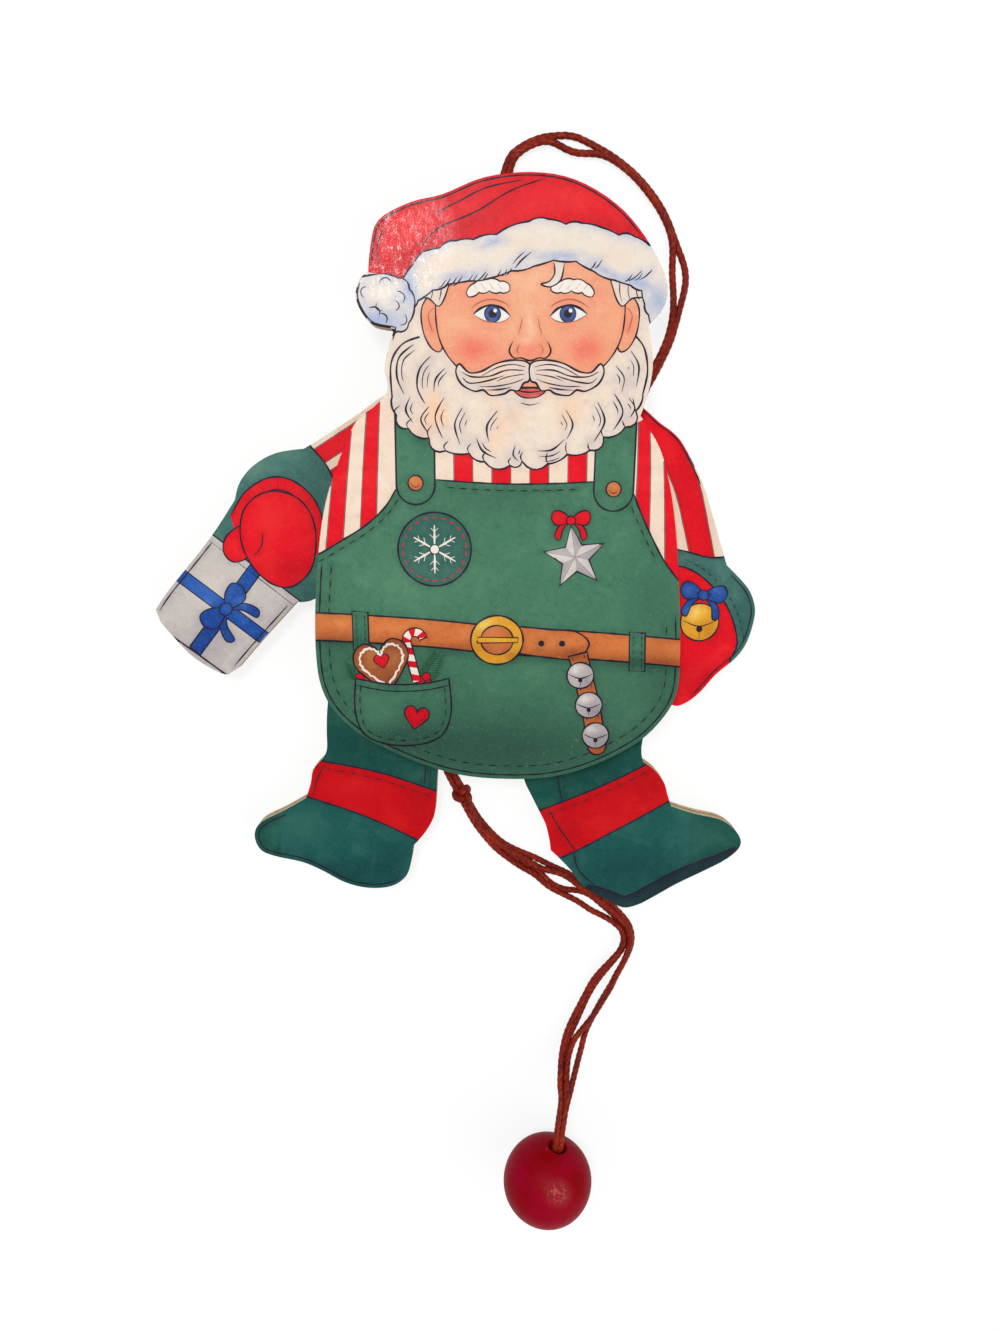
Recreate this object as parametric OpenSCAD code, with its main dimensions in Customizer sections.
// Pull string jumping jack: a flat wooden winter figure with four swinging limbs.
// It lies on its back: +Z out of the printed face, +Y towards the cap, +X to the
// figure's left hand. The origin is the middle of the figure's outline, on the table.

/* [Boards] */
// Thickness of the plywood boards
ply_t = 3.8; // [3:0.1:5]
// Thickness of the printed paper on each board
print_t = 0.2; // [0.1:0.05:0.4]
// Gap between the limbs and the body board, held open by the spacers
limb_gap = 1.5; // [1.4:0.1:2.5]

/* [Body board] */
// Width of the body board
body_w = 74; // [66:0.5:80]
// Height of the body board, from belly to cap
body_h = 117.6; // [110:0.2:125]
// Middle of the body board across the figure
body_mid_x = 8.8; // [6:0.2:12]
// Lowest edge of the belly, below the origin
body_drop = 43.3; // [40:0.1:46]

/* [Arms] */
// Distance of the left shoulder pin from the body board's widest left edge
left_shoulder_inset = 16.35; // [15:0.05:18]
// Distance of the right shoulder pin from the body board's widest right edge
right_shoulder_inset = 12.35; // [11:0.05:14]
// Height of the shoulder pins above the origin
shoulder_y = 23.5; // [21:0.5:26]
// Size of the left arm's outline
left_arm_reach = 60; // [56:0.5:64]
// Size of the right arm's outline
right_arm_reach = 60; // [57:0.5:63]
// How far an arm swings up
arm_swing = 70; // [60:1:75]

/* [Legs] */
// Distance of the left hip pin from the body board's widest left edge
left_hip_inset = 14.75; // [13:0.05:16]
// Distance of the right hip pin from the body board's widest right edge
right_hip_inset = 14.95; // [13:0.05:16]
// Depth of the hip pins below the origin
hip_drop = 24.5; // [22:0.5:26]
// Size of the left leg's outline
left_leg_reach = 50; // [47:0.5:52]
// Size of the right leg's outline
right_leg_reach = 50; // [47:0.5:51]
// How far a leg swings up
leg_swing = 50; // [45:1:55]

/* [Pins and spacers] */
// Diameter of a pin's shank
pin_d = 2; // [1.6:0.1:2.4]
// Diameter of a pin's domed head
head_d = 6; // [5:0.1:7]
// Height of a pin's head
head_h = 2.6; // [2.5:0.05:3.2]
// Diameter of the flat on top of a pin's head
head_flat_d = 3; // [2.5:0.1:3.5]
// Depth of a pin in the body board
pin_seat = 2.8; // [2:0.1:2.9]
// Diameter of a spacer
spacer_d = 6.4; // [5:0.1:8]

/* [Strings] */
// Diameter of one strand of the cord
string_d = 1.2; // [1:0.05:1.2]
// Diameter of the bundle of strands that runs to the bead
bundle_d = 2.4; // [2:0.1:2.4]
// How far the strings are pulled
pull_travel = 12; // [10:0.5:13]
// Diameter of the knot below the body
exit_knot_d = 4.2; // [3.6:0.1:5]

/* [Bead] */
// Diameter of the pull bead
bead_d = 20; // [18:0.5:21]
// Diameter of the bead's bore
bead_bore_d = 4; // [3.4:0.1:5]
// Diameter of the recess for the knot in the bead
bead_recess_d = 6; // [5.2:0.1:7]
// Depth of the recess for the knot
bead_recess = 3.2; // [2.8:0.1:4]

/* [Hanger] */
// Diameter of the staple's wire
wire_d = 1; // [0.8:0.1:1.2]
// Width of the staple
staple_w = 7; // [6:0.5:9]
// Distance of the staple's middle from the body board's widest left edge
staple_inset = 36.2; // [34:0.2:40]
// Distance of the staple below the body board's top edge
staple_drop = 13.3; // [12:0.1:16]
// Depth of the staple's legs in the body board
staple_seat = 2.4; // [2:0.1:2.8]
// Diameter of the knot on the staple
loop_knot_d = 3.6; // [3.2:0.1:3.8]

/* [Hidden] */

// Overrun of a cut past the face that it opens
over = 0.5;
// Radial play of a limb or a spacer on its pin
pin_play = 0.1;
// Play between a pin's head and the back of a limb
head_play = 0.1;
// Play between a spacer and the face of a limb
spacer_play = 0.05;
// Radial play of a string in its hole
string_play = 0.25;
// Play between a limb's string and the body board above it
tie_play = 0.2;
// Height of a free string's underside above the table
lift = 0.05;
// Radius of a limb's string at its corners
tie_bend = 0.55;
// Offset of a knot's turn from the knot's middle, as a share of the turn's thickness
turn_share = 0.45;
// Smoothness of drilled and turned faces
$fn = 48;

// Heights of the layers above the table
limb_z = head_h + head_play;
limb_face_z = limb_z + ply_t;
limb_top_z = limb_face_z + print_t;
body_z = limb_top_z + limb_gap;
body_face_z = body_z + ply_t;

// Pins
body_left_x = body_mid_x - body_w / 2;
body_right_x = body_mid_x + body_w / 2;
left_shoulder = [body_left_x + left_shoulder_inset, shoulder_y];
right_shoulder = [body_right_x - right_shoulder_inset, shoulder_y];
left_hip = [body_left_x + left_hip_inset, -hip_drop];
right_hip = [body_right_x - right_hip_inset, -hip_drop];

// A limb's tail points up by half its swing at rest and down by half when pulled,
// so its length follows from the travel of the strings
arm_tail_r = pull_travel / 2 / sin(arm_swing / 2);
leg_tail_r = pull_travel / 2 / sin(leg_swing / 2);
// Wood between a string's hole and the end of the tail
tail_edge = 2.6;
string_hole_d = string_d + 2 * string_play;

// Outlines: points as shares of the size named with them, from the pin or from the
// middle of the belly's lower edge. A third value of 1 marks a sharp corner.
body_shares = [
    [-0.268, 0.762, 1], [-0.322, 0.768], [-0.354, 0.79], [-0.366, 0.815], [-0.354, 0.839],
    [-0.332, 0.85, 1], [-0.326, 0.886], [-0.304, 0.928], [-0.222, 0.955], [-0.14, 0.967],
    [-0.035, 0.992], [0.085, 1], [0.195, 0.989], [0.3, 0.953], [0.375, 0.904],
    [0.428, 0.847], [0.436, 0.812], [0.42, 0.787], [0.389, 0.768, 1], [0.404, 0.712],
    [0.396, 0.666], [0.375, 0.624, 1], [0.43, 0.569], [0.463, 0.495], [0.482, 0.41],
    [0.495, 0.3], [0.5, 0.22], [0.495, 0.158], [0.46, 0.112], [0.39, 0.067],
    [0.27, 0.026], [0.15, 0.004], [0.02, 0], [-0.11, 0.008], [-0.235, 0.033],
    [-0.37, 0.075], [-0.45, 0.12], [-0.487, 0.165], [-0.499, 0.22], [-0.497, 0.305],
    [-0.482, 0.405], [-0.458, 0.487], [-0.412, 0.566], [-0.37, 0.617], [-0.322, 0.64],
    [-0.288, 0.667], [-0.295, 0.705]
];
left_arm_shares = [
    [0.06, 0.19], [-0.03, 0.182], [-0.116, 0.125], [-0.218, 0.06], [-0.306, 0.008, 1],
    [-0.4, -0.006], [-0.476, -0.046], [-0.526, -0.102], [-0.545, -0.16, 1],
    [-0.64, -0.295], [-0.787, -0.467], [-0.836, -0.535, 1], [-0.822, -0.578, 1],
    [-0.728, -0.69], [-0.645, -0.747], [-0.6, -0.764, 1], [-0.565, -0.742, 1],
    [-0.475, -0.641], [-0.35, -0.508, 1], [-0.28, -0.495], [-0.165, -0.39],
    [-0.04, -0.28], [0.06, -0.14], [0.1, -0.02]
];
right_arm_shares = [
    [-0.06, 0.185], [0.05, 0.155], [0.129, 0.093], [0.173, 0.062], [0.212, 0.018],
    [0.28, -0.108], [0.33, -0.252], [0.372, -0.382, 1], [0.44, -0.45], [0.468, -0.5],
    [0.476, -0.555], [0.454, -0.645], [0.416, -0.704], [0.35, -0.762], [0.3, -0.822],
    [0.255, -0.86], [0.21, -0.875], [0.175, -0.84], [0.163, -0.74], [0.145, -0.61],
    [0.08, -0.46], [-0.01, -0.29], [-0.09, -0.13], [-0.11, -0.01]
];
left_leg_shares = [
    [0.13, 0.21], [-0.01, 0.228], [-0.15, 0.185], [-0.245, 0.075], [-0.272, -0.08],
    [-0.28, -0.19], [-0.282, -0.28], [-0.305, -0.325, 1], [-0.343, -0.368],
    [-0.356, -0.43], [-0.378, -0.495, 1], [-0.473, -0.55], [-0.575, -0.603],
    [-0.606, -0.66], [-0.585, -0.725], [-0.525, -0.756], [-0.405, -0.784],
    [-0.32, -0.822], [-0.22, -0.878], [-0.12, -0.903], [-0.02, -0.895],
    [0.044, -0.85], [0.068, -0.784], [0.08, -0.708, 1], [0.13, -0.65], [0.17, -0.575],
    [0.18, -0.49], [0.185, -0.4], [0.195, -0.28], [0.2, -0.13], [0.2, 0]
];
right_leg_shares = [
    [-0.12, 0.205], [0.01, 0.218], [0.11, 0.165], [0.182, 0.05], [0.19, -0.12],
    [0.168, -0.27], [0.177, -0.335, 1], [0.225, -0.37], [0.268, -0.425],
    [0.285, -0.48], [0.302, -0.532, 1], [0.4, -0.565], [0.52, -0.594], [0.59, -0.65],
    [0.607, -0.71], [0.55, -0.77], [0.45, -0.826], [0.335, -0.885], [0.228, -0.95],
    [0.165, -0.983], [0.105, -0.994], [0.04, -0.962], [-0.025, -0.925],
    [-0.08, -0.885], [-0.12, -0.828], [-0.17, -0.772], [-0.213, -0.73, 1],
    [-0.218, -0.69], [-0.235, -0.616], [-0.264, -0.553], [-0.297, -0.485],
    [-0.33, -0.41], [-0.345, -0.3], [-0.32, -0.16], [-0.275, -0.02]
];
// Points on each stretch between two outline points
stretch = 4;
// Dome of a pin's head: shares of the rounded rim's width and of the head's height
dome_shares = [[0.35, 0.07], [0.7, 0.24], [0.93, 0.5], [1, 0.75]];

// Staple, knot and loop at the back of the cap
staple_at = [body_left_x + staple_inset, body_h - body_drop - staple_drop];
// Room between the staple's wire and the body board
staple_room = 1.5;
crown_z = body_z - staple_room - wire_d / 2;

// Bends of the slack strands from the legs' string to the knot below the body
lower_bends = [[5.2, -25], [0.6, -32], [-2.6, -38.5], [-2.2, -43.5], [-0.4, -47.6]];
// Free cord from the knot below the body to the knot in the bead
pull_route = [
    [1.6, -51.4, 1.6], [4.2, -56.4, 1.3], [8.4, -61.4, 1.3], [12.4, -64.4, 1.3],
    [16.2, -66.6, 1.3], [20.2, -69, 1.3], [24.6, -71.2, 1.3], [28.6, -73.4, 1.3],
    [32, -76, 1.3], [35.1, -78.8, 1.3], [37.4, -81.6, 1.3], [38, -85, 1.3], [36.6, -89, 1.3],
    [33.2, -94.6, 1.3], [30, -100.2, 1.3], [27.2, -106, 1.6], [25.4, -111.4, 3],
    [24.3, -116.2, 5.8], [23.5, -120.9, 8.8], [22.6, -125.3, 10.9], [22.2, -129, 11.3],
    [20, -138.6, 10], [18.4, -145.6, 9]
];
// Hanging loop: out along the outer strand, round the bight and back to the staple
loop_route = [
    [7.2, 62.6, 5.2], [8.2, 67, 3], [9.3, 72, 1], [9.9, 77.8, 0.65], [12.1, 81.6, 0.65],
    [18.1, 84.1, 0.65], [24.9, 83.2, 0.65], [30.6, 81.1, 0.65], [36.6, 76.8, 0.65],
    [41.5, 71, 0.65], [44.5, 64.6, 0.65], [46.1, 58, 0.65], [45.6, 51.9, 0.65],
    [44.1, 45.7, 0.65], [41.6, 40.2, 0.65], [39.4, 36.2, 0.65], [37.8, 32.6, 0.65],
    [35.6, 30.2, 0.65], [33, 30.2, 0.65], [31.8, 32.4, 0.65], [33.2, 34.8, 0.65],
    [35.8, 35.6, 0.65], [38.2, 37.2, 0.65], [40.4, 40.8, 0.65], [42.8, 46.2, 0.65],
    [44.2, 52.1, 0.65], [44.3, 57.8, 0.65], [43.2, 64.2, 0.65], [40.3, 70.3, 0.65],
    [35.6, 75.8, 0.65], [29.9, 79.9, 0.65], [24.5, 81.4, 0.65], [18.3, 82.7, 0.65],
    [13.1, 80.6, 0.65], [11.3, 77.3, 0.65], [10.7, 72, 1], [9.8, 67, 3], [8.8, 62.6, 5.2]
];
// Sides of a cord's tube
cord_sides = 8;

bead_at = pull_route[21];
bead_mouth = pull_route[20];
bead_axis = (bead_mouth - bead_at) / norm(bead_mouth - bead_at);
bead_yaw = atan2(bead_axis[1], bead_axis[0]);
bead_pitch = acos(bead_axis[2]);

function plane(q) = [q[0], q[1]];
function place(shares, x, y) = [
    for (s = shares) len(s) > 2 ? [s[0] * x, s[1] * y, s[2]] : [s[0] * x, s[1] * y]
];
function heading(p, i) = len(p[i]) > 2
    ? [0, 0]
    : (plane(p[(i + 1) % len(p)]) - plane(p[(i - 1 + len(p)) % len(p)])) / 2;
function between(a, b, da, db, t) =
    a * (2 * pow(t, 3) - 3 * pow(t, 2) + 1) + da * (pow(t, 3) - 2 * pow(t, 2) + t)
    + b * (3 * pow(t, 2) - 2 * pow(t, 3)) + db * (pow(t, 3) - pow(t, 2));
function smooth(p) = [
    for (i = [0:len(p) - 1], k = [0:stretch - 1])
        between(plane(p[i]), plane(p[(i + 1) % len(p)]), heading(p, i),
            heading(p, (i + 1) % len(p)), k / stretch)
];

// Place of a limb's string hole from its pin; side is 1 where the tail points to +X
function tail_at(side, r, swing) = r * [side * cos(swing / 2), sin(swing / 2)];
function tail_end(side, r, swing) = [
    for (a = [-80, -40, 0, 40, 80])
        tail_at(side, r, swing) + tail_edge * [side * cos(swing / 2 + a), sin(swing / 2 + a)]
];
function limb_outline(shares, reach, side, r, swing) =
    smooth(concat(place(shares, reach, reach), tail_end(side, r, swing)));

module plate(points, z, t) {
    translate([0, 0, z]) linear_extrude(t) polygon(points);
}

module rod(a, b, d) {
    way = b - a;
    translate(a)
        rotate([0, acos(way[2] / norm(way)), atan2(way[1], way[0])])
            cylinder(d = d, h = norm(way));
}

// A tube of a cord swept along its route, with flat ends
function cord_turn(route, i) =
    let (way = route[min(i + 1, len(route) - 1)] - route[max(i - 1, 0)]) way / norm(way);
function cord_ring(route, i, d) =
    let (
        way = cord_turn(route, i),
        across = cross(way, [0, 0, 1]) / norm(cross(way, [0, 0, 1])),
        up = cross(across, way)
    )
    [
        for (k = [0:cord_sides - 1])
            let (a = 360 * (k + 1 / 2) / cord_sides)
            route[i] + d / 2 * (cos(a) * across + sin(a) * up)
    ];
module cord(route, d) {
    n = len(route);
    points = [for (i = [0:n - 1]) each cord_ring(route, i, d)];
    sides = [
        for (i = [0:n - 2], k = [0:cord_sides - 1])
            let (j = (k + 1) % cord_sides, a = i * cord_sides, b = a + cord_sides)
            each [[a + k, b + k, a + j], [a + j, b + k, b + j]]
    ];
    first = [for (k = [1:cord_sides - 2]) [0, k, k + 1]];
    last = [
        for (k = [1:cord_sides - 2])
            let (a = (n - 1) * cord_sides) [a, a + k + 1, a + k]
    ];
    polyhedron(points = points, faces = concat(sides, first, last));
}

// Body
module body_outline_plate(z, t) {
    translate([body_mid_x, -body_drop, 0]) plate(smooth(place(body_shares, body_w, body_h)), z, t);
}

module body_board() {
    color("tan") difference() {
        body_outline_plate(body_z, ply_t);
        for (p = [left_shoulder, right_shoulder, left_hip, right_hip])
            translate([p[0], p[1], body_z - over]) cylinder(d = pin_d, h = pin_seat + over);
        for (s = [-1, 1])
            translate([staple_at[0] + s * staple_w / 2, staple_at[1], body_z - over])
                cylinder(d = wire_d, h = staple_seat + over);
    }
}

module body_print() {
    color("seagreen") body_outline_plate(body_face_z, print_t);
}

// Pins and spacers
module pin(p) {
    color("gainsboro") translate([p[0], p[1], 0]) rotate_extrude() polygon([
        [0, 0], [head_flat_d / 2, 0],
        for (s = dome_shares) [head_flat_d / 2 + (head_d - head_flat_d) / 2 * s[0], head_h * s[1]],
        [head_d / 2, head_h], [pin_d / 2, head_h], [pin_d / 2, body_z + pin_seat],
        [0, body_z + pin_seat]
    ]);
}

module spacer(p) {
    color("burlywood") translate([p[0], p[1], limb_top_z + spacer_play]) difference() {
        cylinder(d = spacer_d, h = limb_gap - spacer_play);
        translate([0, 0, -over])
            cylinder(d = pin_d + 2 * pin_play, h = limb_gap + 2 * over);
    }
}

// Limbs
module limb_plate(pin_at, shares, reach, side, r, swing, z, t) {
    hole = tail_at(side, r, swing);
    translate([pin_at[0], pin_at[1], 0]) difference() {
        plate(limb_outline(shares, reach, side, r, swing), z, t);
        translate([0, 0, z - over]) cylinder(d = pin_d + 2 * pin_play, h = t + 2 * over);
        translate([hole[0], hole[1], z - over]) cylinder(d = string_hole_d, h = t + 2 * over);
    }
}

// A closed loop of string in an upright plane, through the hole and round the tail's end
module limb_tie(pin_at, side, r, swing) {
    way = [side * cos(swing / 2), sin(swing / 2), 0];
    across = cross([0, 0, 1], way);
    hole = pin_at + tail_at(side, r, swing);
    low_z = limb_z - string_d / 2 - lift;
    high_z = body_z - tie_play - string_d / 2;
    far = tail_edge + string_d / 2 + string_play;
    corners = [[0, low_z, 180], [far, low_z, 270], [far, high_z, 0], [0, high_z, 90]];
    path = [
        for (c = corners, a = [0, 45, 90])
            [
                c[0] + (c[0] > 0 ? -tie_bend : tie_bend) + tie_bend * cos(c[2] + a),
                c[1] + (c[1] > low_z ? -tie_bend : tie_bend) + tie_bend * sin(c[2] + a),
                c[2] + a
            ]
    ];
    points = [
        for (q = path, k = [0:cord_sides - 1])
            let (
                turn = 360 * (k + 1 / 2) / cord_sides,
                out = cos(q[2]) * way + sin(q[2]) * [0, 0, 1]
            )
            [hole[0], hole[1], 0] + q[0] * way + q[1] * [0, 0, 1]
                + string_d / 2 * (cos(turn) * out + sin(turn) * across)
    ];
    n = len(path);
    faces = [
        for (i = [0:n - 1], k = [0:cord_sides - 1])
            let (
                j = (k + 1) % cord_sides,
                a = i * cord_sides,
                b = (i + 1) % n * cord_sides
            )
            each [[a + k, a + j, b + k], [a + j, b + j, b + k]]
    ];
    color("maroon") polyhedron(points = points, faces = faces);
}

module left_arm(z, t) {
    limb_plate(left_shoulder, left_arm_shares, left_arm_reach, 1, arm_tail_r, arm_swing, z, t);
}
module right_arm(z, t) {
    limb_plate(right_shoulder, right_arm_shares, right_arm_reach, -1, arm_tail_r, arm_swing, z, t);
}
module left_leg(z, t) {
    limb_plate(left_hip, left_leg_shares, left_leg_reach, 1, leg_tail_r, leg_swing, z, t);
}
module right_leg(z, t) {
    limb_plate(right_hip, right_leg_shares, right_leg_reach, -1, leg_tail_r, leg_swing, z, t);
}

// Strings behind the figure
string_z = lift + string_d / 2;
bundle_z = lift + bundle_d / 2;
arm_left_end = left_shoulder + tail_at(1, arm_tail_r, arm_swing);
arm_right_end = right_shoulder + tail_at(-1, arm_tail_r, arm_swing);
leg_left_end = left_hip + tail_at(1, leg_tail_r, leg_swing);
leg_right_end = right_hip + tail_at(-1, leg_tail_r, leg_swing);
arm_link_mid = (arm_left_end + arm_right_end) / 2;
leg_link_mid = (leg_left_end + leg_right_end) / 2;
link_knot_d = 2 * string_d;
exit_knot_at = [1.1, -50, exit_knot_d / 2];

module link_string(a, b) {
    color("maroon") rod([a[0], a[1], string_z], [b[0], b[1], string_z], string_d);
}

module link_knot(p) {
    color("maroon") translate([p[0], p[1], link_knot_d / 2]) sphere(d = link_knot_d);
}

module inner_pull_string() {
    link_string(arm_link_mid, leg_link_mid);
}

module lower_pull_string() {
    color("maroon") cord(
        [
            [leg_link_mid[0], leg_link_mid[1], bundle_z],
            for (q = lower_bends) [q[0], q[1], bundle_z],
            [exit_knot_at[0], exit_knot_at[1], bundle_z]
        ],
        bundle_d
    );
}

module exit_knot() {
    color("maroon") translate(exit_knot_at) sphere(d = exit_knot_d);
}

module pull_cord() {
    color("maroon") cord(pull_route, bundle_d);
}

// Bead and its knot
module along_bead() {
    translate(bead_at) rotate([0, bead_pitch, bead_yaw]) children();
}

module pull_bead() {
    color("crimson") along_bead() difference() {
        sphere(d = bead_d, $fn = 96);
        translate([0, 0, -bead_d / 2 - over]) cylinder(d = bead_bore_d, h = bead_d + 2 * over);
        translate([0, 0, -bead_d / 2 - over])
            cylinder(d = bead_recess_d, h = bead_recess + over);
    }
}

// The knot is a little wider than the bore and sits on the bore's rim
module bead_knot() {
    knot_r = bead_bore_d / 2 + string_play;
    seat = sqrt(pow(knot_r, 2) - pow(bead_bore_d / 2, 2)) + lift;
    color("maroon") along_bead()
        translate([0, 0, bead_recess - bead_d / 2 - seat]) sphere(r = knot_r);
}

// Hanger
module hanging_staple() {
    left = staple_at[0] - staple_w / 2;
    right = staple_at[0] + staple_w / 2;
    color("silver") {
        for (x = [left, right]) {
            translate([x, staple_at[1], crown_z]) cylinder(d = wire_d, h = body_z - crown_z + staple_seat);
            translate([x, staple_at[1], crown_z]) sphere(d = wire_d);
        }
        rod([left, staple_at[1], crown_z], [right, staple_at[1], crown_z], wire_d);
    }
}

// Two turns of the cord round the staple
module loop_knot() {
    turn_d = (loop_knot_d - wire_d) / 2;
    color("maroon") translate([staple_at[0], staple_at[1], crown_z]) rotate([0, 90, 0])
        rotate_extrude()
            for (s = [-1, 1])
                translate([(wire_d + turn_d) / 2, s * turn_d * turn_share]) circle(d = turn_d);
}

module hanging_loop() {
    color("maroon") cord(loop_route, string_d);
}

body_board();
body_print();
pin(left_shoulder);  // left_shoulder_pin
pin(right_shoulder);  // right_shoulder_pin
pin(left_hip);  // left_hip_pin
pin(right_hip);  // right_hip_pin
spacer(left_shoulder);  // left_shoulder_spacer
spacer(right_shoulder);  // right_shoulder_spacer
spacer(left_hip);  // left_hip_spacer
spacer(right_hip);  // right_hip_spacer
color("tan") left_arm(limb_z, ply_t);  // left_arm_board
color("firebrick") left_arm(limb_face_z, print_t);  // left_arm_print
limb_tie(left_shoulder, 1, arm_tail_r, arm_swing);  // left_arm_tie
color("tan") right_arm(limb_z, ply_t);  // right_arm_board
color("firebrick") right_arm(limb_face_z, print_t);  // right_arm_print
limb_tie(right_shoulder, -1, arm_tail_r, arm_swing);  // right_arm_tie
color("tan") left_leg(limb_z, ply_t);  // left_leg_board
color("darkgreen") left_leg(limb_face_z, print_t);  // left_leg_print
limb_tie(left_hip, 1, leg_tail_r, leg_swing);  // left_leg_tie
color("tan") right_leg(limb_z, ply_t);  // right_leg_board
color("darkgreen") right_leg(limb_face_z, print_t);  // right_leg_print
limb_tie(right_hip, -1, leg_tail_r, leg_swing);  // right_leg_tie
link_string(arm_left_end, arm_right_end);  // arm_link_string
link_knot(arm_link_mid);  // arm_link_knot
inner_pull_string();
link_string(leg_left_end, leg_right_end);  // leg_link_string
link_knot(leg_link_mid);  // leg_link_knot
lower_pull_string();
exit_knot();
pull_cord();
pull_bead();
bead_knot();
hanging_staple();
loop_knot();
hanging_loop();
